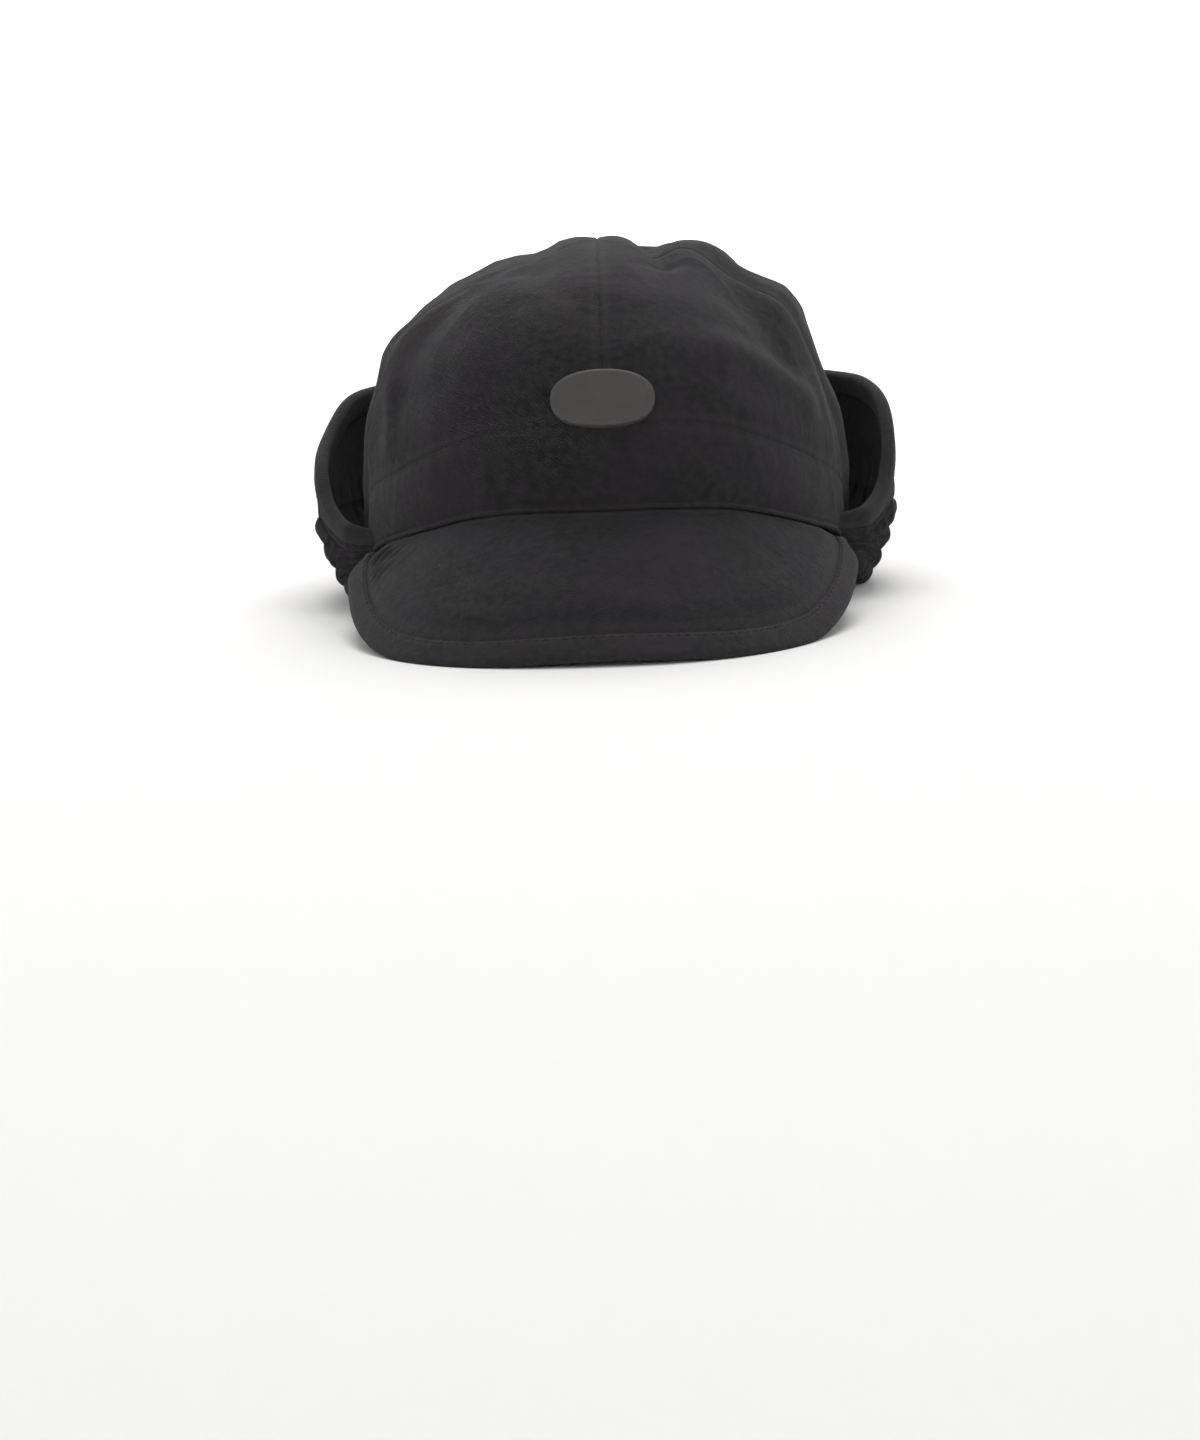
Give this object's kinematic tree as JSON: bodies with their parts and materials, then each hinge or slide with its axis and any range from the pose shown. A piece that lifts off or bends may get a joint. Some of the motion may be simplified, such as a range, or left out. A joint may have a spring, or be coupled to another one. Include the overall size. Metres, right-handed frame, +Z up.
{
  "type": "earflap cap",
  "caption": "Soft cotton cap with a panelled crown, front band, bound peak, oval front patch and a shirred earflap turned up round the sides and back.",
  "frame": {"origin": "on the plane that the cap rests on, under the middle of its outline", "axes": "+Z up from the plane it rests on, -Y towards the peak, +X across the head, to the right as the cap's front is looked at"},
  "size_m": [0.2204, 0.282, 0.1327],
  "materials": {
    "cap_cloth": "soft black cotton twill, lightly brushed",
    "flap_cloth": "soft black cotton twill, gathered on elastic near the fold",
    "binding_cloth": "the same cotton, folded round the edges and padded",
    "patch_rubber": "dark grey moulded rubber, matt, with a raised rim"
  },
  "bodies": {
    "root": {"crown_front_left": "cap_cloth", "crown_front_right": "cap_cloth", "crown_back_right": "cap_cloth", "crown_back_left": "cap_cloth", "front_band": "cap_cloth", "peak": "cap_cloth", "peak_binding": "binding_cloth", "earflap_shirring": "flap_cloth", "earflap": "flap_cloth", "earflap_binding": "binding_cloth", "front_patch": "patch_rubber"}
  },
  "joints": []
}
